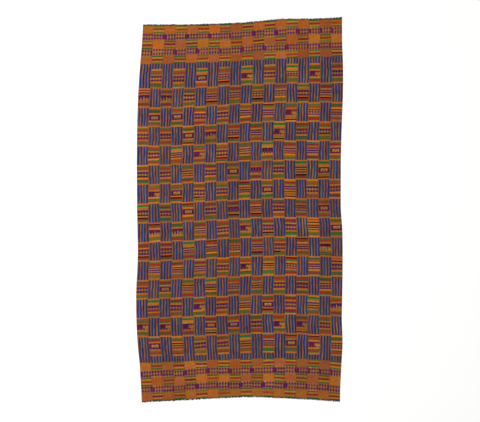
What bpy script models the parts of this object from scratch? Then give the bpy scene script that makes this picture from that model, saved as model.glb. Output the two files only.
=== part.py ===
# Strip-woven kente cloth lying flat on a surface: eighteen narrow strips side by side, with short
# cut warp ends past the top and the bottom edge. Metres, +Z up, strips running along Y.
# The origin is on the surface, under the middle of the cloth's box.
import math
import random

import bmesh
import bpy
from mathutils import Vector

# The cloth as it came off the loom
STRIP_COUNT = 18
CLOTH_THICKNESS = 0.0015
SEAM_GAP = 0.0003  # between neighbouring strips, and between a strip and its fringe
END_SECTION = 0.321  # orange section at each end of a strip
SHORT_RUN = 0.050  # plain warp between an end section and the first or last row of blocks
ROW_PITCH = 0.163  # one row of blocks
ROW_COUNT = 15
FIELD_TOP = END_SECTION + SHORT_RUN
FIELD_LENGTH = ROW_COUNT * ROW_PITCH
STRIP_LENGTH = 2 * FIELD_TOP + FIELD_LENGTH

# Mesh steps of one strip
CELLS_ACROSS = 2
CELLS_DOWN = 32

# The cut warp ends, twisted into short locks
LOCKS_PER_STRIP = 6
LOCK_SHARE = 0.62  # of the pitch between locks
LOCK_LENGTH = (0.0075, 0.0105)
LOCK_LEAN = 0.0015  # most that a tip stands off its root, sideways
TIP_SHARE = 0.55  # of the lock's width at its root
BACKING_WIDTH = 0.0028

# Where each weft line lies, measured up from the middle of the cloth. The lines climb to the right
# and bow, because the strips were sewn with uneven tension.
LINE_STRIPS = (1, 4, 7, 10, 13, 16, 18)  # the strips that the columns below stand for
WEFT_LINES = (
    # line, way down the strip, then its height at each of those strips
    ("top edge", 0.0, 1.564, 1.565, 1.571, 1.584, 1.611, 1.614, 1.623),
    ("field top", END_SECTION, 1.238, 1.246, 1.255, 1.269, 1.285, 1.297, 1.303),
    ("row 0", FIELD_TOP, 1.190, 1.195, 1.205, 1.220, 1.234, 1.241, 1.245),
    ("row 3", FIELD_TOP + 3 * ROW_PITCH, 0.703, 0.706, 0.721, 0.739, 0.748, 0.748, 0.748),
    ("row 6", FIELD_TOP + 6 * ROW_PITCH, 0.212, 0.222, 0.234, 0.248, 0.257, 0.257, 0.259),
    ("row 9", FIELD_TOP + 9 * ROW_PITCH, -0.279, -0.269, -0.253, -0.237, -0.230, -0.233, -0.234),
    ("row 12", FIELD_TOP + 12 * ROW_PITCH, -0.762, -0.751, -0.741, -0.729, -0.722, -0.729, -0.736),
    ("row 15", FIELD_TOP + FIELD_LENGTH, -1.244, -1.240, -1.230, -1.216, -1.213, -1.228, -1.240),
    ("field bottom", STRIP_LENGTH - END_SECTION, -1.301, -1.291, -1.277, -1.267, -1.263, -1.273, -1.290),
    ("bottom edge", STRIP_LENGTH, -1.624, -1.609, -1.594, -1.582, -1.589, -1.604, -1.617),
)

# The two outer selvedges, in and out where the cloth was pulled in the sewing
SELVEDGES = (
    # height up the cloth, left selvedge, right selvedge
    (1.62, -0.820, 0.871),
    (1.43, -0.829, 0.872),
    (1.23, -0.846, 0.879),
    (1.00, -0.861, 0.879),
    (0.73, -0.870, 0.869),
    (0.43, -0.874, 0.861),
    (0.20, -0.873, 0.860),
    (0.00, -0.872, 0.861),
    (-0.17, -0.868, 0.873),
    (-0.40, -0.865, 0.876),
    (-0.70, -0.878, 0.873),
    (-0.93, -0.877, 0.869),
    (-1.13, -0.867, 0.875),
    (-1.33, -0.848, 0.865),
    (-1.52, -0.837, 0.855),
    (-1.62, -0.832, 0.854),
)

# Low waves where the cloth doesn't lie down, mostly along the seams
WAVES = (
    # middle across, middle up, half length, half width, turn of its length from +Y, height
    (-0.80, 0.62, 0.62, 0.150, 3.0, 0.0060),
    (-0.84, -0.55, 0.50, 0.130, -4.0, 0.0050),
    (-0.47, 1.02, 0.44, 0.140, 8.0, 0.0045),
    (-0.40, -0.12, 0.70, 0.160, -5.0, 0.0055),
    (-0.52, -1.06, 0.40, 0.150, 10.0, 0.0050),
    (-0.08, 0.70, 0.52, 0.150, -6.0, 0.0050),
    (-0.03, -0.86, 0.55, 0.140, 4.0, 0.0045),
    (0.31, 1.05, 0.42, 0.150, -12.0, 0.0060),
    (0.36, 0.02, 0.66, 0.160, 5.0, 0.0060),
    (0.42, -1.04, 0.44, 0.140, -7.0, 0.0050),
    (0.68, 0.62, 0.58, 0.150, -3.0, 0.0055),
    (0.72, -0.58, 0.52, 0.150, 6.0, 0.0050),
)

# sRGB colours of the yarn, as the two parts read from a step away
WOVEN_COLOUR = (0.44, 0.30, 0.26)
FRINGE_COLOUR = (0.16, 0.12, 0.16)
COTTON_ROUGHNESS = 0.85


def along_curve(places, values, at):
    """Value at a place on a smooth curve through rising places, straight past its ends."""
    last = len(places) - 1

    def slope(i):
        low, high = max(i - 1, 0), min(i + 1, last)
        return (values[high] - values[low]) / (places[high] - places[low])

    if at <= places[0]:
        return values[0] + slope(0) * (at - places[0])
    if at >= places[last]:
        return values[last] + slope(last) * (at - places[last])
    i = next(i for i in range(last) if at <= places[i + 1])
    span = places[i + 1] - places[i]
    t = (at - places[i]) / span
    return (
        values[i] * (1 + 2 * t) * (1 - t) ** 2
        + slope(i) * span * t * (1 - t) ** 2
        + values[i + 1] * t * t * (3 - 2 * t)
        + slope(i + 1) * span * t * t * (t - 1)
    )


def weft_height(across, down):
    """How far up the cloth a point lies. across counts strips from the left edge."""
    strips = [number - 0.5 for number in LINE_STRIPS]
    ways = [line[1] for line in WEFT_LINES]
    heights = [along_curve(strips, line[2:], across) for line in WEFT_LINES]
    return along_curve(ways, heights, down)


def seam_place(across, up):
    """How far to the right of the middle a point lies, at a height up the cloth."""
    rising = SELVEDGES[::-1]
    heights = [row[0] for row in rising]
    left = along_curve(heights, [row[1] for row in rising], up)
    right = along_curve(heights, [row[2] for row in rising], up)
    return left + (right - left) * across / STRIP_COUNT


def wave_height(x, y):
    """How far the cloth stands off the surface."""
    lift = 0.0
    for middle_x, middle_y, half_length, half_width, turn, height in WAVES:
        c, s = math.cos(math.radians(turn)), math.sin(math.radians(turn))
        along = (-(x - middle_x) * s + (y - middle_y) * c) / half_length
        aside = ((x - middle_x) * c + (y - middle_y) * s) / half_width
        if abs(along) < 1 and abs(aside) < 1:
            lift += height * math.cos(along * math.pi / 2) ** 2 * math.cos(aside * math.pi / 2) ** 2
    return lift


def on_cloth(across, down):
    """The underside's point that lies so many strips across and so far down a strip."""
    y = weft_height(across, down)
    x = seam_place(across, y)
    return Vector((x, y, wave_height(x, y)))


def thicken(bm):
    """Closes an open sheet into a solid by raising a copy of it."""
    raised = bmesh.ops.extrude_face_region(bm, geom=bm.faces[:])
    for vert in raised["geom"]:
        if isinstance(vert, bmesh.types.BMVert):
            vert.co.z += CLOTH_THICKNESS
    bmesh.ops.recalc_face_normals(bm, faces=bm.faces[:])


def yarn_material(name, colour):
    linear = [c / 12.92 if c <= 0.04045 else ((c + 0.055) / 1.055) ** 2.4 for c in colour]
    material = bpy.data.materials.new(name)
    material.use_nodes = True
    shader = material.node_tree.nodes["Principled BSDF"]
    shader.inputs["Base Color"].default_value = (*linear, 1.0)
    shader.inputs["Roughness"].default_value = COTTON_ROUGHNESS
    shader.inputs["Metallic"].default_value = 0.0
    return material


def add_object(name, bm, middle, material):
    """Adds a piece with its origin on the surface, under the given middle."""
    for vert in bm.verts:
        vert.co -= middle
    mesh = bpy.data.meshes.new(name)
    bm.to_mesh(mesh)
    bm.free()
    mesh.materials.append(material)
    piece = bpy.data.objects.new(name, mesh)
    piece.location = middle
    bpy.context.collection.objects.link(piece)
    return piece


def woven_strip(number):
    """One strip: a grid laid on the cloth between two seams, then given its thickness."""
    bm = bmesh.new()
    bmesh.ops.create_grid(bm, x_segments=CELLS_ACROSS, y_segments=CELLS_DOWN, size=0.5)
    for vert in bm.verts:
        share, down = vert.co.x + 0.5, (0.5 - vert.co.y) * STRIP_LENGTH
        place = on_cloth(number - 1 + share, down)
        place.x += SEAM_GAP / 2 * (1 - 2 * share)
        vert.co = place
    thicken(bm)
    middle = on_cloth(number - 0.5, STRIP_LENGTH / 2)
    middle.z = 0.0
    return add_object(f"strip_{number:02d}", bm, middle, yarn_material(f"strip_{number:02d}", WOVEN_COLOUR))


def end_line(across, down):
    """A point on a strip's cut end, which runs straight between the strip's own mesh points."""
    step = math.floor(across * CELLS_ACROSS) / CELLS_ACROSS
    step = min(step, STRIP_COUNT - 1 / CELLS_ACROSS)
    share = (across - step) * CELLS_ACROSS
    return on_cloth(step, down).lerp(on_cloth(step + 1 / CELLS_ACROSS, down), share)


def warp_ends(name, down, outward, seed):
    """The cut warp ends of all strips at one edge: a narrow backing with short tapered locks."""
    draw = random.Random(seed)
    steps = 2 * LOCKS_PER_STRIP * STRIP_COUNT
    bm = bmesh.new()
    bmesh.ops.create_grid(bm, x_segments=steps, y_segments=1, size=0.5)
    for vert in bm.verts:
        step = round((vert.co.x + 0.5) * steps)
        outer = (vert.co.y > 0) == (outward > 0)
        # even steps start a lock and odd steps end it
        across = (step // 2 + LOCK_SHARE * (step % 2)) / LOCKS_PER_STRIP
        vert.co = end_line(across, down)
        vert.co.y += outward * (SEAM_GAP + BACKING_WIDTH * outer)
        if step in (0, steps):
            vert.co.x += SEAM_GAP / 2 * (1 if step == 0 else -1)
        if outer:
            vert.tag = True
    rims = [edge for edge in bm.edges if all(vert.tag for vert in edge.verts)]
    rims.sort(key=lambda edge: edge.verts[0].co.x + edge.verts[1].co.x)
    grown = bmesh.ops.extrude_edge_only(bm, edges=rims[::2])["geom"]
    ends = {item for item in grown if isinstance(item, bmesh.types.BMVert)}
    tips = [item for item in grown if isinstance(item, bmesh.types.BMEdge) and set(item.verts) <= ends]
    tips.sort(key=lambda edge: edge.verts[0].co.x + edge.verts[1].co.x)
    for tip in tips:
        reach = Vector((draw.uniform(-LOCK_LEAN, LOCK_LEAN), outward * draw.uniform(*LOCK_LENGTH), 0.0))
        middle = (tip.verts[0].co + tip.verts[1].co) / 2
        for vert in tip.verts:
            vert.co = middle + (vert.co - middle) * TIP_SHARE + reach
    thicken(bm)
    middle = on_cloth(STRIP_COUNT / 2, down)
    middle.z = 0.0
    return add_object(name, bm, middle, yarn_material(name, FRINGE_COLOUR))


def main():
    for old in list(bpy.data.objects):
        bpy.data.objects.remove(old, do_unlink=True)
    for number in range(1, STRIP_COUNT + 1):
        woven_strip(number)
    warp_ends("fringe_top", 0.0, 1, seed=3)
    warp_ends("fringe_bottom", STRIP_LENGTH, -1, seed=5)


main()
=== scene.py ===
# Looks of a strip-woven kente cloth that lies flat: eighteen woven strips, the zigzag sewing over
# the seams between them, and the cut warp ends past the top and the bottom edge.
# Metres, +Z up, strips along Y, the origin on the floor under the middle of the cloth.
import math
import random

import bmesh
import bpy
import numpy as np
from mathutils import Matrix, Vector, noise


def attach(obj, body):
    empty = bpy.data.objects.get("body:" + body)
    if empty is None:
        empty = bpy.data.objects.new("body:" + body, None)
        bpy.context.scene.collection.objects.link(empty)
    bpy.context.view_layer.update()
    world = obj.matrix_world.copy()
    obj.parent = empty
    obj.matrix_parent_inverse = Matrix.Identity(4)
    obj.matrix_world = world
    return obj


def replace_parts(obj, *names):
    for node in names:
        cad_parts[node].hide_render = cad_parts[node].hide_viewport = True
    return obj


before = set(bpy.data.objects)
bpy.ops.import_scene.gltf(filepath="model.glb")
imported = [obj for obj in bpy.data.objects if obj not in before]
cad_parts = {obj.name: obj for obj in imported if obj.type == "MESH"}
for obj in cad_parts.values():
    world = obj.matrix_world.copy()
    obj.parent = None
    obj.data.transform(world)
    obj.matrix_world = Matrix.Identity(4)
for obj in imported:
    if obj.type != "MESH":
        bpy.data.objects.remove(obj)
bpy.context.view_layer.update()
print("frame loaded:", len(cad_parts), "nodes")

# Sizes of the cloth, the same as in the CAD
cloth = {
    "strips": 18,
    "stripWidth": 0.0967,  # of one strip, off the loom
    "endSection": 0.321,  # orange section at each end of a strip
    "shortRun": 0.050,  # plain warp between an end section and the rows of blocks
    "rowPitch": 0.163,
    "rows": 15,
    "gap": 0.0003,  # between neighbouring strips
}
fieldTop = cloth["endSection"] + cloth["shortRun"]
fieldLength = cloth["rows"] * cloth["rowPitch"]
stripLength = 2 * fieldTop + fieldLength

# Where each weft line lies, measured up from the middle of the cloth, at seven of the strips
lineStrips = (1, 4, 7, 10, 13, 16, 18)
weftLines = (
    # way down the strip, then its height at each of those strips
    (0.0, 1.564, 1.565, 1.571, 1.584, 1.611, 1.614, 1.623),
    (cloth["endSection"], 1.238, 1.246, 1.255, 1.269, 1.285, 1.297, 1.303),
    (fieldTop, 1.190, 1.195, 1.205, 1.220, 1.234, 1.241, 1.245),
    (fieldTop + 3 * cloth["rowPitch"], 0.703, 0.706, 0.721, 0.739, 0.748, 0.748, 0.748),
    (fieldTop + 6 * cloth["rowPitch"], 0.212, 0.222, 0.234, 0.248, 0.257, 0.257, 0.259),
    (fieldTop + 9 * cloth["rowPitch"], -0.279, -0.269, -0.253, -0.237, -0.230, -0.233, -0.234),
    (fieldTop + 12 * cloth["rowPitch"], -0.762, -0.751, -0.741, -0.729, -0.722, -0.729, -0.736),
    (fieldTop + fieldLength, -1.244, -1.240, -1.230, -1.216, -1.213, -1.228, -1.240),
    (stripLength - cloth["endSection"], -1.301, -1.291, -1.277, -1.267, -1.263, -1.273, -1.290),
    (stripLength, -1.624, -1.609, -1.594, -1.582, -1.589, -1.604, -1.617),
)
selvedges = (
    # height up the cloth, left selvedge, right selvedge
    (-1.62, -0.832, 0.854),
    (-1.52, -0.837, 0.855),
    (-1.33, -0.848, 0.865),
    (-1.13, -0.867, 0.875),
    (-0.93, -0.877, 0.869),
    (-0.70, -0.878, 0.873),
    (-0.40, -0.865, 0.876),
    (-0.17, -0.868, 0.873),
    (0.00, -0.872, 0.861),
    (0.20, -0.873, 0.860),
    (0.43, -0.874, 0.861),
    (0.73, -0.870, 0.869),
    (1.00, -0.861, 0.879),
    (1.23, -0.846, 0.879),
    (1.43, -0.829, 0.872),
    (1.62, -0.820, 0.871),
)
waves = (
    # middle across, middle up, half length, half width, turn of its length from +Y, height
    (-0.80, 0.62, 0.62, 0.150, 3.0, 0.0060),
    (-0.84, -0.55, 0.50, 0.130, -4.0, 0.0050),
    (-0.47, 1.02, 0.44, 0.140, 8.0, 0.0045),
    (-0.40, -0.12, 0.70, 0.160, -5.0, 0.0055),
    (-0.52, -1.06, 0.40, 0.150, 10.0, 0.0050),
    (-0.08, 0.70, 0.52, 0.150, -6.0, 0.0050),
    (-0.03, -0.86, 0.55, 0.140, 4.0, 0.0045),
    (0.31, 1.05, 0.42, 0.150, -12.0, 0.0060),
    (0.36, 0.02, 0.66, 0.160, 5.0, 0.0060),
    (0.42, -1.04, 0.44, 0.140, -7.0, 0.0050),
    (0.68, 0.62, 0.58, 0.150, -3.0, 0.0055),
    (0.72, -0.58, 0.52, 0.150, 6.0, 0.0050),
)


def alongCurve(places, values, at):
    # value at a place on a smooth curve through rising places, straight past its ends
    last = len(places) - 1

    def slope(i):
        low, high = max(i - 1, 0), min(i + 1, last)
        return (values[high] - values[low]) / (places[high] - places[low])

    if at <= places[0]:
        return values[0] + slope(0) * (at - places[0])
    if at >= places[last]:
        return values[last] + slope(last) * (at - places[last])
    i = next(i for i in range(last) if at <= places[i + 1])
    span = places[i + 1] - places[i]
    t = (at - places[i]) / span
    return (
        values[i] * (1 + 2 * t) * (1 - t) ** 2
        + slope(i) * span * t * (1 - t) ** 2
        + values[i + 1] * t * t * (3 - 2 * t)
        + slope(i + 1) * span * t * t * (t - 1)
    )


lineWays = [line[0] for line in weftLines]
lineMiddles = [number - 0.5 for number in lineStrips]
selvedgeHeights = [row[0] for row in selvedges]
leftSelvedge = [row[1] for row in selvedges]
rightSelvedge = [row[2] for row in selvedges]
lineHeights = {}  # the weft lines' heights at each column that has been asked for


def weftHeight(across, down):
    # across counts strips from the left edge, down is the way down a strip
    if across not in lineHeights:
        lineHeights[across] = [alongCurve(lineMiddles, line[1:], across) for line in weftLines]
    return alongCurve(lineWays, lineHeights[across], down)


def waveHeight(x, y):
    lift = 0.0
    for middleX, middleY, halfLength, halfWidth, turn, height in waves:
        c, s = math.cos(math.radians(turn)), math.sin(math.radians(turn))
        along = (-(x - middleX) * s + (y - middleY) * c) / halfLength
        aside = ((x - middleX) * c + (y - middleY) * s) / halfWidth
        if abs(along) < 1 and abs(aside) < 1:
            lift += height * math.cos(along * math.pi / 2) ** 2 * math.cos(aside * math.pi / 2) ** 2
    return lift


# Small puckers that the sewing draws up beside the seams
puckers = {"height": 0.0016, "length": 0.055, "reach": 0.30}
seamDrift = {"reach": 0.0045, "length": 0.11}  # how far a seam wanders off its line, and over what length


def puckerHeight(across, x, y):
    fromSeam = abs(across - round(across))
    if fromSeam > puckers["reach"] or not 0.2 < across < cloth["strips"] - 0.2:
        return 0.0
    swell = noise.noise(Vector((x * 9, y / puckers["length"], 4.0)))
    fade = math.cos(fromSeam / puckers["reach"] * math.pi / 2) ** 2
    return puckers["height"] * max(swell, 0.0) * fade


def onCloth(across, down):
    # the underside's point that lies so many strips across and so far down a strip
    y = weftHeight(across, down)
    left = alongCurve(selvedgeHeights, leftSelvedge, y)
    right = alongCurve(selvedgeHeights, rightSelvedge, y)
    x = left + (right - left) * across / cloth["strips"]
    inside = min(across, cloth["strips"] - across, 1.0)
    x += inside * seamDrift["reach"] * noise.noise(Vector((x * 6, y / seamDrift["length"], 8.0)))
    return Vector((x, y, waveHeight(x, y) + puckerHeight(across, x, y)))


# Yarns. A letter names each in the weaver's plan below.
yarns = {
    # letter: shades of its dye, how far it stands proud of the warp in mm, how much warp it hides
    "A": (("b0620e", "a45a18", "bc6a0c", "a86024"), 0.35, 0.88),  # orange
    "O": (("a85818", "984e18", "a4601a", "9c5426"), 0.30, 0.94),  # the plain orange of the end sections
    "G": (("3c5c1a", "56600c", "1c5a30", "2c5210"), 0.35, 0.92),  # green
    "E": (("0c662c", "1e641c"), 0.35, 0.94),  # leaf green
    "L": (("60580e", "6c5a1c", "50540c"), 0.35, 0.90),  # olive
    "R": (("8c2010", "801426", "98300e", "8a2c1c"), 0.35, 0.93),  # red
    "Y": (("a06a12", "a87614", "94601c"), 0.40, 0.90),  # gold
    "D": (("7c5a34", "6c5030", "7a5440"), 0.30, 0.88),  # gold where the blue warp shows through it
    "P": (("4c1244", "3c1050", "581038", "3c1234"), 0.50, 0.95),  # plum
    "W": (("6c3028", "60282c", "74381c"), 0.35, 0.90),  # plum where the orange warp shows through it
    "M": (("60144c", "520c50", "6c1840", "4c1458"), 0.50, 0.95),  # the redder plum of the end sections
    "B": (("885020", "945a1a", "7c4426"), 0.35, 0.90),  # that plum where it lets the orange warp through
    "V": (("4c0a30", "540c28"), 0.45, 0.96),  # wine
    "K": (("040208", "060202"), 0.40, 1.0),  # black
    ".": (("48342c", "3c3040", "5c4028", "34384c"), 0.0, 0.10),  # bare warp, with a little weft showing
}

# The weaver's plan. A band is its height in mm and the yarn of its nine places across the strip,
# which lie over the warp's half, four blue and three orange stripes and half; one letter fills all.
blockTops = {
    "p": ((13.5, "A"), (13.5, "G"), (12, "R"), (8.5, "G"), (12, "A")),
    "r": ((12, "A"), (9, "G"), (18, "R"), (9, "G"), (11.5, "A")),
    "g": ((13, "A"), (19, "E"), (14, "A"), (13.5, "Y")),
    "d": ((12, "A"), (8.5, "K"), (13, "R"), (11, "G"), (15, "A")),
    "k": ((13, "A"), (11, "R"), (11, "A"), (9, "K"), (15.5, "A")),
    "o": ((13, "A"), (12, "L"), (9, "R"), (13, "L"), (12.5, "A")),
}
blockMiddles = {
    "d": ((19, "WPWPWPWPW"), (13, "YDYDYDYDY"), (16.5, "WPWPWPWPW")),
    "t": ((11, "PPPPPPPPW"), (8, "Y"), (11, "WPPPPPPPP"), (8, "Y"), (10.5, "WPWPWPWPW")),
    "b": ((12, "WPPPPPPPW"), (12, "WPYYDYYPW"), (12, "WPYDYDYPW"), (12.5, "WPPPPPPPW")),
    "s": ((14, "WPPPPWPWP"), (10, "WPPPWYDYD"), (12, "WPPPWYYYY"), (12.5, "WPWPWPYDY")),
    "h": ((14, "WPPPPPPPP"), (12, "WPWPYPWPY"), (12, "YPYPYDYDY"), (10.5, "YDYDYDYDY")),
    "g": ((10, "WPWPWPWPW"), (10, "YDYDYDYDY"), (9, "WPWPWPWPW"), (10, "YDYDYDYDY"), (9.5, "WPWPWPWPW")),
    "v": ((16, "WPPPWPPPW"), (20, "WPWPWPWPW"), (12.5, "PDPDPDPDP")),
    "w": ((22, "WVVVVVVVY"), (14, "YDYYYDYDY"), (12.5, "YDYDYDYYY")),
}
blockBases = {
    "p": ((15, "A"), (11, "G"), (10, "R"), (9.5, "G"), (13.5, "A")),
    "r": ((14, "A"), (8, "G"), (17, "R"), (8, "G"), (12, "A")),
    "g": ((14, "A"), (10, "G"), (10, "L"), (10, "E"), (15, "A")),
    "d": ((12, "A"), (10.5, "K"), (11, "R"), (12, "G"), (13.5, "A")),
    "k": ((12, "A"), (12, "L"), (9, "A"), (10, "K"), (16, "A")),
    "o": ((13, "A"), (32, "L"), (14, "A")),
    "e": ((12, "A"), (10.5, "KKKKKRRRR"), (11, "L"), (12, "G"), (13.5, "A")),
}
# Top, middle and base of each block, from the left edge of the cloth to the right. The odd rows'
# blocks are in the even strips, and the even rows' blocks in the odd strips.
blockRows = (
    "pdo pdp gbp rgd gsg pdo ggo psr pdp",
    "khp rhp pdo otd pgo pgd pgo gdd ptd",
    "pbp rbp pdr pdp ptr dtp psk pgr ptp",
    "pdp pdp pbk pho rgd ptp gsk pdp odo",
    "rdp gtr psp pdd ptp gvp ptp ptr pbr",
    "pdp pdp ptr rdo pbp ovp pdo gtd gbk",
    "pso pbd rde pdp dtg pbg rtk pdr pdr",
    "gdd pdp dbp pdp rvd rtd pdp ptp rbp",
    "dho php ptp rdr psg rdd rdg ktp pbg",
    "rdd rdd gtr dto pgp rtd pde dtp rwp",
    "pto rtr rtp rdp rsg rtg dgr ptp kdp",
    "rdo rbo ptr gtp rgp rtp rdp rdp pgr",
    "gdr rdp rsp rdp oto rbd rdr gtp phr",
    "psp rsr gsr rbk rbp pdr rsp rsk pdr",
    "rbp ptp pdp rdp gtr rtg dbp dsp pgp",
)
# An end section is five groups of bands, the other way about in the strip beside it
endGroups = {
    "plain": ((62, "O"),),
    "stripes": ((9, "G"), (13, "Y"), (17, "R"), (13, "Y"), (10, "G")),
    "n": ((7, "A"), (14, "BMBMBMBMB"), (15, "YDYDYDYDY"), (14, "BMBMBMBMB"), (12, "YDYDYDYDY")),
    "l": ((10, "MYYDYDYDY"), (14, "MMBMBMBMB"), (14, "MMYDYDYDY"), (14, "MMBMBMBMB"), (10, "YDYDYDYDY")),
    "r": ((9, "YDYDYDYDY"), (14, "BMBMBMBMM"), (14, "YDYDYDYMM"), (14, "BMBMBMBMM"), (11, "YDYDYDYDM")),
}
# Which selvedge the plum bar stands at in the two dashed groups of a strip's end, n for none
topBars = "nr rn lr rl lr rl ln rl nr rl lr rl lr rl lr lr lr ln"
baseBars = "lr rl nr rr lr rl lr rr lr rl lr rl lr rl lr lr lr ln"

weaving = {
    "blockLead": 0.0038,  # a block starts this far above its row, and ends this far below it
    "blockTail": 0.0012,
    "uneven": 0.14,  # share by which a band comes out higher or lower than planned
    "slant": 0.0019,  # how far a pick runs askew from one selvedge to the other
    "slantStep": 0.075,
    "sway": 0.0016,  # how far a pick sways up and down across a strip
    "runStep": 0.014,  # longest mesh step in a run of bare warp
    "body": 0.0011,  # thickness of the bare warp
    "under": 0.00025,  # most that the underside is hollow
    "proudest": 0.0005,  # the weft that stands proud by this much isn't hollow below
    "dip": 0.00012,  # how far the cloth dips between two yarns
    "rounding": 0.00045,  # how much the selvedges thin out
    "scallop": 0.0005,  # how far the weft's turns draw the selvedges in and out
    "orangeShare": 0.40,  # of the warp, the rest is blue
    "stripeShift": 0.027,  # how far the stripes lie to the right of the strip's quarters
    "stripTone": (0.86, 1.12),  # least and most brightness of a strip's weft, and of one band
    "bandTone": (0.84, 1.14),
    "bareCover": (0.2, 2.4),  # how much the weft shows in a bare run, as a share of its mean
    "bandCover": (0.96, 1.03),
    "wallShare": 0.0015,  # width that the thin side walls get in the bake map
    "bakeEdge": 0.004,  # bare rim of each length in the bake map, a share of the map
    "bakeScale": 1.2,  # of the bake map, a share of the map for each metre
}


def mmBands(groups, length, draw):
    # fits groups of bands into a length, each a little higher or lower than planned
    bands = [band for group in groups for band in group]
    heights = [mm * draw.uniform(1 - weaving["uneven"], 1 + weaving["uneven"]) for mm, places in bands]
    return [(h * length / sum(heights), places * (9 if len(places) == 1 else 1))
            for h, (mm, places) in zip(heights, bands)]


def stripBands(number, draw):
    # all bands of a strip from its top edge down
    odd = number % 2
    bars = [names.split()[number - 1] for names in (topBars, baseBars)]
    order = (("plain", 0, "stripes", 1, "plain"), ("stripes", 0, "plain", 1, "stripes"))[1 - odd]
    ends = [[endGroups[name if isinstance(name, str) else bar[name]] for name in order] for bar in bars]
    bands = mmBands(ends[0], cloth["endSection"], draw)
    run = cloth["shortRun"]
    for row in range(1, cloth["rows"] + 1):
        if row % 2 == odd:
            run += cloth["rowPitch"]
            continue
        top, middle, base = blockRows[row - 1].split()[(number - 1) // 2]
        lead, tail = weaving["blockLead"], weaving["blockTail"]
        bands.append((run - lead, "." * 9))
        groups = (blockTops[top], blockMiddles[middle], blockBases[base])
        bands += mmBands(groups, cloth["rowPitch"] + lead + tail, draw)
        run = -tail
    bands.append((run + cloth["shortRun"], "." * 9))
    return bands + mmBands(ends[1], cloth["endSection"], draw)


def linear(hexColour):
    channels = [int(hexColour[i:i + 2], 16) / 255 for i in (0, 2, 4)]
    return [c / 12.92 if c <= 0.04045 else ((c + 0.055) / 1.055) ** 2.4 for c in channels]


# Mesh columns: the edges of the nine places, the middles of the blue ones, and a line by each selvedge
columnShares = [0.0, 0.011]
columnPlaces = [0, 0]
for stripe in range(4):
    start = (stripe + weaving["orangeShare"] / 2) / 4 + weaving["stripeShift"]
    blueWidth = (1 - weaving["orangeShare"]) / 4
    columnShares += [start, start + blueWidth / 2, start + blueWidth]
    columnPlaces += [2 * stripe + 1, 2 * stripe + 1, 2 * stripe + 2]
columnShares += [0.991, 1.0]
columnPlaces += [8]


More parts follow.
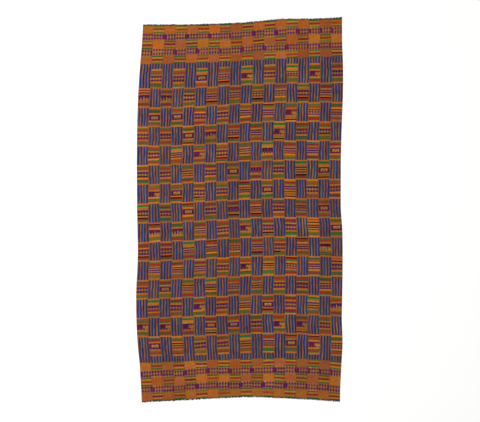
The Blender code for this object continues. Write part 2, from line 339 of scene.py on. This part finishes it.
def weaveStrip(number, material):
    draw = random.Random(40 + number)
    stripTone = draw.uniform(*weaving["stripTone"])
    lines, letters, colours = [0.0], [], []
    for height, places in stripBands(number, draw):
        shades = {}
        for letter in sorted(set(places)):
            tone = stripTone * draw.uniform(*weaving["bandTone"])
            cover = yarns[letter][2] * draw.uniform(*weaving["bareCover" if letter == "." else "bandCover"])
            shades[letter] = [c * tone for c in linear(draw.choice(yarns[letter][0]))] + [min(cover, 1.0)]
        bare = places[0] == "."
        steps = max(1, math.ceil(height / weaving["runStep"])) if bare or height > 0.03 else 3
        start = lines[-1]
        for step in range(steps):
            share = (step + 1) / steps if steps != 3 else (0.25, 0.75, 1.0)[step]
            lines.append(start + height * share)
            letters.append([places[place] for place in columnPlaces])
            colours.append([shades[places[place]] for place in columnPlaces])
    rows, columns = len(letters), len(columnPlaces)

    # how far each mesh point stands proud: the mean of the yarns round it, lower between two yarns
    proud = np.array([[yarns[letter][1] for letter in row] for row in letters]) / 1000
    padded = np.pad(proud, 1, mode="edge")
    round4 = np.stack([padded[:-1, :-1], padded[1:, :-1], padded[:-1, 1:], padded[1:, 1:]])
    codes = np.pad(np.array([[ord(letter) for letter in row] for row in letters]), 1, mode="edge")
    codes4 = np.stack([codes[:-1, :-1], codes[1:, :-1], codes[:-1, 1:], codes[1:, 1:]])
    between = codes4.max(axis=0) != codes4.min(axis=0)
    proud = round4.mean(axis=0) - weaving["dip"] * between

    knots = [i * weaving["slantStep"] for i in range(int(stripLength / weaving["slantStep"]) + 2)]
    tilts = [draw.gauss(0, weaving["slant"]) for knot in knots]
    tilts[0] = tilts[1] = tilts[-1] = tilts[-2] = 0.0

    bm = bmesh.new()
    rowLayer = bm.verts.layers.int.new("row")
    columnLayer = bm.verts.layers.int.new("column")
    sideLayer = bm.verts.layers.int.new("side")
    bmesh.ops.create_grid(bm, x_segments=columns, y_segments=rows, size=0.5)
    rowTilts = [alongCurve(knots, tilts, way) for way in lines]
    for vert in bm.verts:
        row, column = round((0.5 - vert.co.y) * rows), round((vert.co.x + 0.5) * columns)
        share = columnShares[column]
        down = lines[row] + rowTilts[row] * (share - 0.5)
        if 0 < row < rows:
            down += weaving["sway"] * noise.noise(Vector((number * 5.3 + share * 2.5, lines[row] * 14, 2.0)))
        place = onCloth(number - 1 + share, down)
        place.x += cloth["gap"] / 2 * (1 - 2 * share)
        if column in (0, columns) and 0 < row < rows:
            place.x += weaving["scallop"] * noise.noise(Vector((number * 3.1 + column, lines[row] * 90, 0)))
        vert.co = place
        vert[rowLayer], vert[columnLayer] = row, column
    raised = bmesh.ops.extrude_face_region(bm, geom=bm.faces[:])
    for item in raised["geom"]:
        if isinstance(item, bmesh.types.BMVert):
            item[sideLayer] = 1
    for vert in bm.verts:
        row, column = vert[rowLayer], vert[columnLayer]
        rim = row in (0, rows) or column in (0, columns)
        if vert[sideLayer]:
            vert.co.z += weaving["under"] + weaving["body"] + proud[row][column] - weaving["rounding"] * rim
        else:
            hollow = weaving["under"] * (1 - proud[row][column] / weaving["proudest"])
            vert.co.z += hollow + weaving["rounding"] * 0.6 * rim
    bmesh.ops.recalc_face_normals(bm, faces=bm.faces[:])
    name = f"woven_strip_{number:02d}"
    mesh = bpy.data.meshes.new(name)
    bm.to_mesh(mesh)
    bm.free()

    # the faces' yarn, their place in the weave in mm, and the map that the bake uses
    vertexCount, cornerCount = len(mesh.vertices), len(mesh.loops)
    rowAt, columnAt, sideAt = (np.empty(vertexCount, dtype=np.int32) for _ in range(3))
    for label, values in (("row", rowAt), ("column", columnAt), ("side", sideAt)):
        mesh.attributes[label].data.foreach_get("value", values)
        mesh.attributes.remove(mesh.attributes[label])
    corner = np.empty(cornerCount, dtype=np.int32)
    mesh.loops.foreach_get("vertex_index", corner)
    faceRow = rowAt[corner].reshape(-1, 4).min(axis=1).clip(0, rows - 1)
    faceColumn = columnAt[corner].reshape(-1, 4).min(axis=1).clip(0, columns - 1)
    weft = mesh.color_attributes.new("Weft", "FLOAT_COLOR", "CORNER")
    table = np.array(colours)[faceRow, faceColumn]
    weft.data.foreach_set("color", np.repeat(table, 4, axis=0).ravel())

    across = np.array(columnShares)[columnAt[corner]] * cloth["stripWidth"]
    down = np.array(lines)[rowAt[corner]]
    weaveMap = mesh.uv_layers.new(name="Weave")
    ownStretch = np.array([number * cloth["stripWidth"], number * 7.0])  # no two strips have the same threads
    weaveMap.data.foreach_set("uv", ((np.stack([across, down], axis=1) + ownStretch) * 1000).ravel())
    cuts = [min(range(rows + 1), key=lambda r: abs(lines[r] - stripLength * k / 4)) for k in range(4)]
    length = np.repeat(np.searchsorted(cuts, faceRow, side="right") - 1, 4)
    under = np.repeat(sideAt[corner].reshape(-1, 4).max(axis=1) == 0, 4)
    wall = np.repeat(sideAt[corner].reshape(-1, 4).mean(axis=1) == 0.5, 4) & (sideAt[corner] == 0)
    start = np.array([lines[cut] for cut in cuts])[length]
    onSide = wall & np.isin(columnAt[corner], (0, columns))
    onEnd = wall & np.isin(rowAt[corner], (0, rows))
    u = across + np.where(columnAt[corner] == 0, -1, 1) * weaving["wallShare"] * onSide
    v = down - start + np.where(rowAt[corner] == 0, -1, 1) * weaving["wallShare"] * onEnd
    u = (length + 4 * under) / 8 + weaving["bakeEdge"] + u * weaving["bakeScale"]
    v = weaving["bakeEdge"] + v * weaving["bakeScale"]
    bake = mesh.uv_layers.new(name="OFBake")
    bake.data.foreach_set("uv", np.stack([u, v], axis=1).ravel())
    mesh.uv_layers.active = weaveMap

    mesh.polygons.foreach_set("use_smooth", [True] * len(mesh.polygons))
    mesh.set_sharp_from_angle(angle=math.radians(40))
    mesh.materials.append(material)
    piece = bpy.data.objects.new(name, mesh)
    bpy.context.collection.objects.link(piece)
    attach(piece, "root")
    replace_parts(piece, f"strip_{number:02d}")
    return piece


def addNode(tree, kind, settings=None, links=None):
    # sockets go by name or number, and a link from a node starts at its first output
    node = tree.nodes.new(kind)
    for key, value in (settings or {}).items():
        if isinstance(key, str) and hasattr(node, key):
            setattr(node, key, value)
        else:
            node.inputs[key].default_value = value
    for key, source in (links or {}).items():
        tree.links.new(source.outputs[0] if isinstance(source, bpy.types.Node) else source, node.inputs[key])
    return node


def newMaterial(name):
    material = bpy.data.materials.new(name)
    material.use_nodes = True
    tree = material.node_tree
    return material, tree, tree.nodes["Principled BSDF"]


# Hand-woven cotton. Threads and picks are drawn three times as coarse as the real ones, so that they show.
weave = {
    "blue": ("0a3678", "1a2646", "0c425e"),
    "orange": ("8c5822", "70443a", "9c621a"),
    "stripePitch": 1000 * cloth["stripWidth"] / 4,  # mm from one orange warp stripe to the next
    "ribPitch": 1000 * cloth["stripWidth"] / 32,  # mm between warp threads
    "pickPitch": 2.1,  # mm between picks
    "stripeEdge": 0.025,  # how far a stripe's edge is blurred, a share of the pitch
    "wander": 16.0,  # mm that the stripes drift to and fro
    "wanderScale": 9.0,  # drifts in each metre
    "blotch": 60.0,  # blotches of dye, and of painted pucker shade, in each metre
    "roughness": 0.84,
}


def wovenCotton():
    # matt, as short fibres stand up all over it: ribs run up the cloth where the warp shows, and
    # level picks hide them where the weft is beaten close
    material, tree, shader = newMaterial("hand woven cotton")
    uv = addNode(tree, "ShaderNodeUVMap", {"uv_map": "Weave"})
    mm = addNode(tree, "ShaderNodeSeparateXYZ", {}, {0: uv})
    place = addNode(tree, "ShaderNodeTexCoord").outputs["Object"]
    weft = addNode(tree, "ShaderNodeAttribute", {"attribute_name": "Weft"})
    cover = weft.outputs["Alpha"]

    # threads, picks, and the beads that they make where they cross
    drift = addNode(tree, "ShaderNodeTexNoise", {"Scale": weave["wanderScale"], "Detail": 1.0},
                    {"Vector": place})
    u = addNode(tree, "ShaderNodeMath", {"operation": "MULTIPLY_ADD", 1: weave["wander"]}, {0: drift, 2: mm})
    ribPlace = addNode(tree, "ShaderNodeMath", {"operation": "DIVIDE", 1: weave["ribPitch"]}, {0: u})
    pickPlace = addNode(tree, "ShaderNodeMath", {"operation": "DIVIDE", 1: weave["pickPitch"]},
                        {0: mm.outputs[1]})
    pickNumber = addNode(tree, "ShaderNodeMath", {"operation": "FLOOR"}, {0: pickPlace})
    ribNumber = addNode(tree, "ShaderNodeMath", {"operation": "FLOOR"}, {0: ribPlace})
    beadPlace = addNode(tree, "ShaderNodeMath", {"operation": "MULTIPLY_ADD", 1: 0.5},
                        {0: pickNumber, 2: ribPlace})
    waves = []
    for source in (ribPlace, pickPlace, beadPlace):
        wave = addNode(tree, "ShaderNodeMath", {"operation": "PINGPONG", 1: 0.5}, {0: source})
        smooth = {"interpolation_type": "SMOOTHSTEP", "From Max": 0.5}
        waves.append(addNode(tree, "ShaderNodeMapRange", smooth, {"Value": wave}))
    rib, pick, bead = waves
    ribShade = addNode(tree, "ShaderNodeTexWhiteNoise", {"noise_dimensions": "1D"}, {"W": ribNumber})
    pickShade = addNode(tree, "ShaderNodeTexWhiteNoise", {"noise_dimensions": "1D"}, {"W": pickNumber})

    # streaks of dye: along the threads, along the picks, and broad ones along a whole stripe
    streaks = []
    for scale in ((300, 14, 1), (30, 420, 1), (38, 5, 1)):
        stretched = addNode(tree, "ShaderNodeMapping", {"Scale": scale}, {"Vector": place})
        streak = addNode(tree, "ShaderNodeTexNoise", {"Scale": 1.0, "Detail": 2.0}, {"Vector": stretched})
        streaks.append(streak)
    warpStreak, weftStreak, stripeStreak = streaks
    threadShade = addNode(tree, "ShaderNodeMath", {"operation": "ADD"}, {0: ribShade, 1: warpStreak})
    stripeShade = addNode(tree, "ShaderNodeMath", {"operation": "MULTIPLY_ADD", 1: 2.4, 2: -0.92},
                          {0: stripeStreak})
    dye = addNode(tree, "ShaderNodeMath", {"operation": "MULTIPLY_ADD", 1: 0.22},
                  {0: threadShade, 2: stripeShade})
    ramps = []
    for name in ("blue", "orange"):
        ramp = addNode(tree, "ShaderNodeValToRGB", {}, {"Fac": dye})
        ramp.color_ramp.elements.new(0.5)
        for stop, position, shade in zip(ramp.color_ramp.elements, (0.2, 0.5, 0.8), weave[name]):
            stop.position, stop.color = position, (*linear(shade), 1)
        ramps.append(ramp)

    # the warp's stripes, then the weft over them
    middle = 1000 * weaving["stripeShift"] * cloth["stripWidth"] + weave["wander"] / 2
    fromMiddle = addNode(tree, "ShaderNodeMath", {"operation": "SUBTRACT", 1: middle}, {0: u})
    turns = addNode(tree, "ShaderNodeMath", {"operation": "DIVIDE", 1: weave["stripePitch"]}, {0: fromMiddle})
    aside = addNode(tree, "ShaderNodeMath", {"operation": "PINGPONG", 1: 0.5}, {0: turns})
    edge = weaving["orangeShare"] / 2
    blurred = {"From Min": edge - weave["stripeEdge"], "From Max": edge + weave["stripeEdge"]}
    isBlue = addNode(tree, "ShaderNodeMapRange", blurred, {"Value": aside})
    warp = addNode(tree, "ShaderNodeMix", {"data_type": "RGBA"}, {0: isBlue, 6: ramps[1], 7: ramps[0]})
    hollow = addNode(tree, "ShaderNodeMath", {"operation": "SUBTRACT", 0: 0.5}, {1: rib})
    bare = addNode(tree, "ShaderNodeMath", {"operation": "SUBTRACT", 0: 1.0}, {1: cover})
    mixed = addNode(tree, "ShaderNodeMath", {"operation": "MULTIPLY"}, {0: cover, 1: bare})
    mask = addNode(tree, "ShaderNodeMath", {"operation": "MULTIPLY_ADD"}, {0: hollow, 1: mixed, 2: cover})
    yarn = addNode(tree, "ShaderNodeMix", {"data_type": "RGBA"}, {0: mask, 6: warp.outputs[2], 7: weft})

    # the threads' height, painted shade that darkens the colour down in the grooves between threads and
    # picks, streaks of dye, and faded patches
    warpHeight = addNode(tree, "ShaderNodeMath", {"operation": "MULTIPLY_ADD", 1: 0.25}, {0: bead, 2: rib})
    weftHigh = addNode(tree, "ShaderNodeMath", {"operation": "MULTIPLY_ADD", 1: 0.45}, {0: bead, 2: pick})
    height = addNode(tree, "ShaderNodeMix", {}, {0: mask, 2: warpHeight, 3: weftHigh})
    # painted shade: the colour is darker down in the grooves than on the tops of the threads and picks
    paintedGrooveShade = addNode(tree, "ShaderNodeMath", {"operation": "MULTIPLY_ADD", 1: 0.24, 2: 0.80}, {0: height})
    pickDye = addNode(tree, "ShaderNodeMath", {"operation": "ADD"}, {0: weftStreak, 1: pickShade})
    dyeTone = addNode(tree, "ShaderNodeMix", {}, {0: mask, 2: threadShade, 3: pickDye})
    dyeShare = addNode(tree, "ShaderNodeMath", {"operation": "MULTIPLY_ADD", 1: 0.22, 2: 0.71}, {0: dyeTone})
    patch = addNode(tree, "ShaderNodeTexNoise", {"Scale": 2.6, "Detail": 3.0}, {"Vector": place})
    faded = addNode(tree, "ShaderNodeMath", {"operation": "MULTIPLY_ADD", 1: 0.4, 2: 0.8}, {0: patch})
    tone = addNode(tree, "ShaderNodeMath", {"operation": "MULTIPLY"}, {0: paintedGrooveShade, 1: dyeShare})
    paintedShadeDyeAndFading = addNode(tree, "ShaderNodeMath", {"operation": "MULTIPLY"}, {0: tone, 1: faded})
    toned = addNode(tree, "ShaderNodeVectorMath", {"operation": "SCALE"},
                    {0: yarn.outputs[2], "Scale": paintedShadeDyeAndFading})

    # blotches where dyes have run into each other, which also stand in for the light and shade of small
    # puckers: partly painted shade
    blotch = addNode(tree, "ShaderNodeTexNoise", {"Scale": weave["blotch"], "Detail": 1.0}, {"Vector": place})
    blotchColour = blotch.outputs["Color"]
    uneven = {"operation": "MULTIPLY_ADD", 1: (0.9, 0.8, 1.0), 2: (0.55, 0.6, 0.5)}
    dyeBlotchAndPaintedShade = addNode(tree, "ShaderNodeVectorMath", uneven, {0: blotchColour})
    run = addNode(tree, "ShaderNodeVectorMath", {"operation": "MULTIPLY", 1: (0.003, 0.002, 0.004)},
                  {0: blotchColour})
    colour = addNode(tree, "ShaderNodeVectorMath", {"operation": "MULTIPLY_ADD"},
                     {0: toned, 1: dyeBlotchAndPaintedShade, 2: run})
    tree.links.new(colour.outputs[0], shader.inputs["Base Color"])

    bump = addNode(tree, "ShaderNodeBump", {"Strength": 0.6, "Distance": 0.0006}, {"Height": height})
    tree.links.new(bump.outputs[0], shader.inputs["Normal"])
    smoother = {"operation": "MULTIPLY_ADD", 1: -0.08, 2: weave["roughness"] + 0.08}
    rough = addNode(tree, "ShaderNodeMath", smoother, {0: height})
    tree.links.new(rough.outputs[0], shader.inputs["Roughness"])
    shader.inputs["Specular IOR Level"].default_value = 0.03
    return material


cotton = wovenCotton()
strips = [weaveStrip(number, cotton) for number in range(1, cloth["strips"] + 1)]
print("strips woven:", sum(len(piece.data.polygons) for piece in strips) * 2, "triangles")


def threadMesh(name, paths, cells):
    # Threads along paths of points (place, radius), four-sided. The bake map has a column of cells for
    # each so many threads, and each thread lies along a cell of its own.
    curve = bpy.data.curves.new(name, "CURVE")
    curve.dimensions = "3D"
    curve.bevel_depth = 1.0
    curve.bevel_resolution = 0
    curve.use_fill_caps = True
    for path in paths:
        spline = curve.splines.new("POLY")
        spline.points.add(len(path) - 1)
        for point, (place, radius) in zip(spline.points, path):
            point.co, point.radius = (*place, 1), radius
    holder = bpy.data.objects.new(name, curve)
    bpy.context.collection.objects.link(holder)
    mesh = bpy.data.meshes.new_from_object(holder.evaluated_get(bpy.context.evaluated_depsgraph_get()))
    bpy.data.objects.remove(holder)
    bpy.data.curves.remove(curve)
    mesh.name = name
    mesh.polygons.foreach_set("use_smooth", [True] * len(mesh.polygons))
    bakeMap = mesh.uv_layers[0]
    bakeMap.name = "OFBake"
    uvs = np.empty(len(mesh.loops) * 2)
    bakeMap.data.foreach_get("uv", uvs)
    uvs = uvs.reshape(-1, 2)
    thread = np.arange(len(uvs)) // (len(uvs) // len(paths))
    columns = math.ceil(len(paths) / cells)
    column = (thread // cells + 0.06 + 0.88 * uvs[:, 1]) / columns
    cell = (thread % cells + 0.02 + 0.96 * uvs[:, 0]) / cells
    bakeMap.data.foreach_set("uv", np.stack([column, cell], axis=1).ravel())
    return mesh


def addPiece(name, mesh, material):
    mesh.materials.append(material)
    piece = bpy.data.objects.new(name, mesh)
    bpy.context.collection.objects.link(piece)
    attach(piece, "root")
    return piece


# Zigzag sewing over the seams, in one thick cotton thread
sewing = {
    "reach": 0.0024,  # from the seam to where the needle went in
    "advance": 0.0055,  # along the seam for one zig and one zag
    "thread": 0.0005,  # half the thread's thickness
    "hole": 0.0004,  # how high the thread's middle stands over the bare warp at a hole, and between two
    "crossing": 0.0006,
    "shades": ("8a4e1c", "6a3a1c", "9c5e24"),
}


def zigzagSewing():
    top = weaving["under"] + weaving["body"]
    steps = int(stripLength / sewing["advance"])
    paths = []
    for seam in range(1, cloth["strips"]):
        draw = random.Random(seam)
        path = []
        for i in range(2 * steps + 1):
            place = onCloth(seam, (i / 2 + 0.5) * stripLength / (steps + 1))
            place.x += (0, 1, 0, -1)[i % 4] * sewing["reach"] * draw.uniform(0.8, 1.2)
            place.z += top + sewing["hole" if i % 2 else "crossing"]
            path.append((place, sewing["thread"] * draw.uniform(0.85, 1.15)))
        paths.append(path)
    return threadMesh("zigzag_sewing", paths, 1)


def sewingCotton():
    # twisted cotton thread, dull and a little uneven in its dye
    material, tree, shader = newMaterial("twisted cotton thread")
    place = addNode(tree, "ShaderNodeTexCoord").outputs["Object"]
    uneven = addNode(tree, "ShaderNodeTexNoise", {"Scale": 14.0, "Detail": 3.0}, {"Vector": place})
    ramp = addNode(tree, "ShaderNodeValToRGB", {}, {"Fac": uneven})
    ramp.color_ramp.elements.new(0.5)
    for stop, position, shade in zip(ramp.color_ramp.elements, (0.38, 0.5, 0.62), sewing["shades"]):
        stop.position, stop.color = position, (*linear(shade), 1)
    tree.links.new(ramp.outputs[0], shader.inputs["Base Color"])
    shader.inputs["Roughness"].default_value = 0.8
    shader.inputs["Specular IOR Level"].default_value = 0.1
    return material


addPiece("zigzag_sewing", zigzagSewing(), sewingCotton())
print("seams sewn:", sum(len(p.vertices) - 2 for p in bpy.data.meshes["zigzag_sewing"].polygons), "triangles")

# The warp where it was cut: bundles of loose ends past a few last tight picks
fringe = {
    "tufts": 15,  # to a strip
    "ends": 8,  # loose ends to a tuft
    "spread": 0.0046,  # how far a tuft's ends lie apart where they leave the picks
    "splay": 0.0030,  # and how much further at their tips
    "thread": 0.00062,  # half an end's thickness
    "length": (0.0080, 0.0150),
    "layers": (0.0005, 0.0014),  # how high over the cloth's underside the ends leave the picks
    "lowest": 0.0004,  # height that the ends sink towards
    "backing": 0.0028,  # width of the last tight picks, and their height and lift
    "backingHeight": 0.0012,
    "backingLift": 0.0002,
    # dark navy and brown, far darker than the warp's dyes: painted shade among the loose ends
    "shades": ("100c18", "1c1218", "0c1428", "2c1810", "141014", "44240e"),
}


def cutWarp(name, down, outward, seed):
    draw = random.Random(seed)
    paths, shades = [], []
    for tuft in range(fringe["tufts"] * cloth["strips"]):
        across = (tuft + 0.5 + draw.uniform(-0.2, 0.2)) / fringe["tufts"]
        length = draw.uniform(*fringe["length"])
        lean = draw.gauss(0, 0.3) * fringe["splay"]
        for end in range(fringe["ends"]):
            root = onCloth(across, down)
            root.x += draw.uniform(-0.5, 0.5) * fringe["spread"]
            root.y += outward * (cloth["gap"] + fringe["backing"] * 0.5)
            root.z += draw.uniform(*fringe["layers"])
            reach = length * draw.uniform(0.7, 1.1)
            aside = lean + draw.uniform(-0.5, 0.5) * fringe["splay"]
            curl = draw.gauss(0, 0.35) * fringe["splay"]
            path = []
            for share, thickness in ((0, 1.0), (0.35, 1.0), (0.7, 0.85), (1.0, 0.5)):
                sideways = aside * share + curl * math.sin(share * math.pi)
                place = root + Vector((sideways, outward * reach * share, 0))
                place.z += (fringe["lowest"] - root.z) * share * 0.7
                path.append((place, fringe["thread"] * thickness))
            paths.append(path)
            shades.append([*linear(draw.choice(fringe["shades"])), 1])
    mesh = threadMesh(name, paths, fringe["tufts"])
    perThread = len(mesh.loops) // len(paths)
    shade = mesh.color_attributes.new("Shade", "FLOAT_COLOR", "CORNER")
    shade.data.foreach_set("color", np.repeat(shades, perThread, axis=0).ravel())
    print(name, "has", len(paths), "loose ends")

    # the last picks, in one long strip under and over the ends
    bm = bmesh.new()
    bm.from_mesh(mesh)
    shadeLayer = bm.loops.layers.float_color["Shade"]
    loose = len(bm.faces)
    bmesh.ops.create_grid(bm, x_segments=cloth["strips"] * 8, y_segments=2, size=0.5)
    backing = list(bm.faces)[loose:]
    for vert in {vert for face in backing for vert in face.verts}:
        across, outer = (vert.co.x + 0.5) * cloth["strips"], 0.5 + outward * vert.co.y
        past = cloth["gap"] + fringe["backing"] * outer
        vert.co = onCloth(across, down) + Vector((0, outward * past, fringe["backingLift"]))
    raised = bmesh.ops.extrude_face_region(bm, geom=backing)["geom"]
    for item in raised:
        if isinstance(item, bmesh.types.BMVert):
            item.co.z += fringe["backingHeight"]
    backing = list(bm.faces)[loose:]
    bmesh.ops.recalc_face_normals(bm, faces=backing)
    # the last picks take the darkest shade of the ends: painted shade, as among the ends
    for face in backing:
        for loop in face.loops:
            loop[shadeLayer] = [*linear(fringe["shades"][0]), 1]
    bm.to_mesh(mesh)
    bm.free()
    return mesh


def cutCotton():
    # dark cut ends: navy and brown like the warp's blue and orange, but far darker, which is painted shade
    # among the loose ends; streaks run along the fibres
    material, tree, shader = newMaterial("cut cotton warp")
    shade = addNode(tree, "ShaderNodeAttribute", {"attribute_name": "Shade"})
    place = addNode(tree, "ShaderNodeTexCoord").outputs["Object"]
    fibres = addNode(tree, "ShaderNodeMapping", {"Scale": (1400, 160, 400)}, {"Vector": place})
    streak = addNode(tree, "ShaderNodeTexNoise", {"Scale": 1.0, "Detail": 2.0}, {"Vector": fibres})
    tone = addNode(tree, "ShaderNodeMath", {"operation": "MULTIPLY_ADD", 1: 1.6, 2: 0.2}, {0: streak})
    toned = addNode(tree, "ShaderNodeVectorMath", {"operation": "SCALE"}, {0: shade, "Scale": tone})
    tree.links.new(toned.outputs[0], shader.inputs["Base Color"])
    shader.inputs["Roughness"].default_value = 0.9
    shader.inputs["Specular IOR Level"].default_value = 0.1
    return material


cutMaterial = cutCotton()
for name, node, down, outward, seed in (("cut_warp_top", "fringe_top", 0.0, 1, 3),
                                        ("cut_warp_bottom", "fringe_bottom", stripLength, -1, 5)):
    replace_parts(addPiece(name, cutWarp(name, down, outward, seed), cutMaterial), node)
print("warp ends cut")

# Seamless pale paper under the cloth, lit until it is nearly white
studio = {
    "floorSize": 60.0,
    "floorDrop": 0.0005,
    "floor": "f8f8f6",
    "sky": 0.93,
    "key": 112.0,
    "keyPlace": (-3.2, 1.0, 3.0),
    "keySize": 2.6,
    "lens": 85.0,
    "viewWidth": 4.08,  # of the picture, on the cloth
    "viewMiddle": (0.0038, -0.0106),
}
floorMesh = bmesh.new()
bmesh.ops.create_grid(floorMesh, x_segments=1, y_segments=1, size=studio["floorSize"] / 2)
bmesh.ops.translate(floorMesh, verts=floorMesh.verts[:], vec=(0, 0, -studio["floorDrop"]))
floorData = bpy.data.meshes.new("paper_floor")
floorMesh.to_mesh(floorData)
floorMesh.free()
paper, paperTree, paperShader = newMaterial("matt paper")
paperShader.inputs["Base Color"].default_value = (*linear(studio["floor"]), 1)
paperShader.inputs["Roughness"].default_value = 0.95
paperShader.inputs["Specular IOR Level"].default_value = 0.1
floorData.materials.append(paper)
floor = bpy.data.objects.new("paper_floor", floorData)
bpy.context.collection.objects.link(floor)

world = bpy.data.worlds.new("studio")
world.use_nodes = True
world.node_tree.nodes["Background"].inputs["Color"].default_value = (1, 1, 1, 1)
world.node_tree.nodes["Background"].inputs["Strength"].default_value = studio["sky"]
bpy.context.scene.world = world
lamp = bpy.data.lights.new("softbox", "AREA")
lamp.energy = studio["key"]
lamp.size = studio["keySize"]
lampObject = bpy.data.objects.new("softbox", lamp)
lampObject.location = studio["keyPlace"]
lampObject.rotation_euler = (-Vector(studio["keyPlace"])).to_track_quat("-Z", "Y").to_euler()
bpy.context.collection.objects.link(lampObject)

camera = bpy.data.cameras.new("camera")
camera.lens = studio["lens"]
camera.sensor_width = 36
camera.clip_end = 200
cameraObject = bpy.data.objects.new("camera", camera)
away = studio["viewWidth"] / camera.sensor_width * camera.lens
cameraObject.location = (*studio["viewMiddle"], away)
bpy.context.collection.objects.link(cameraObject)
bpy.context.scene.camera = cameraObject
bpy.context.scene.view_settings.view_transform = "Standard"
print("studio set")
